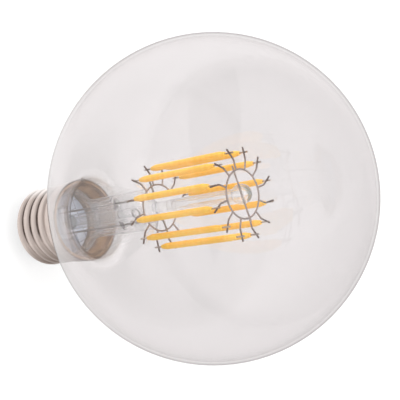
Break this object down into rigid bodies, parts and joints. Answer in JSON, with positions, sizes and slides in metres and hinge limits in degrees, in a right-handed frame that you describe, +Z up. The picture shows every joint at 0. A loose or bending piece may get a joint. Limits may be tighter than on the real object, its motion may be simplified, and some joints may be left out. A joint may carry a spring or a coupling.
{
  "type": "globe bulb",
  "caption": "Clear glass globe lamp with a cage of straight light filaments on a glass stem, and a metal screw cap with an end contact.",
  "frame": {"origin": "centre of the end contact's flat face", "axes": "+Z up the lamp's axis to the crown, +X in the plane of the two lead wires, +Y completes the frame"},
  "size_m": [0.095, 0.095, 0.1305],
  "materials": {
    "globe_glass": "clear blown glass, glossy",
    "stem_glass": "clear pressed glass, glossy",
    "cap_metal": "nickel-plated rolled sheet, satin",
    "insulator": "black fused glass, glossy",
    "contact_metal": "nickel-plated, satin",
    "cement": "brown cement, matte",
    "cage_wire": "drawn wire, satin",
    "lead_metal": "drawn wire, satin",
    "phosphor": "phosphor in silicone, matte",
    "tab_metal": "stamped strip, satin",
    "board": "coated laminate, matte",
    "capacitor_can": "satin can",
    "moulded_block": "black moulding, matte",
    "fuse_body": "painted ceramic, satin"
  },
  "bodies": {
    "root": {"glass_globe": "globe_glass", "glass_stem": "stem_glass", "cap_shell": "cap_metal", "cap_insulator": "insulator", "centre_contact": "contact_metal", "basing_cement": "cement", "top_spider": "cage_wire", "crossbar": "cage_wire", "bottom_spider_a": "cage_wire", "bottom_spider_b": "cage_wire", "lead_wire_a": "lead_metal", "lead_wire_b": "lead_metal", "shell_lead": "lead_metal", "driver_board": "board", "capacitor": "capacitor_can", "bridge_rectifier": "moulded_block", "driver_chip": "moulded_block", "fuse_resistor": "fuse_body", "filament_01": "phosphor", "filament_02": "phosphor", "filament_03": "phosphor", "filament_04": "phosphor", "filament_05": "phosphor", "filament_06": "phosphor", "filament_07": "phosphor", "filament_08": "phosphor", "filament_09": "phosphor", "filament_10": "phosphor", "filament_11": "phosphor", "filament_12": "phosphor", "filament_tabs_01": "tab_metal", "filament_tabs_02": "tab_metal", "filament_tabs_03": "tab_metal", "filament_tabs_04": "tab_metal", "filament_tabs_05": "tab_metal", "filament_tabs_06": "tab_metal", "filament_tabs_07": "tab_metal", "filament_tabs_08": "tab_metal", "filament_tabs_09": "tab_metal", "filament_tabs_10": "tab_metal", "filament_tabs_11": "tab_metal", "filament_tabs_12": "tab_metal"}
  },
  "joints": []
}
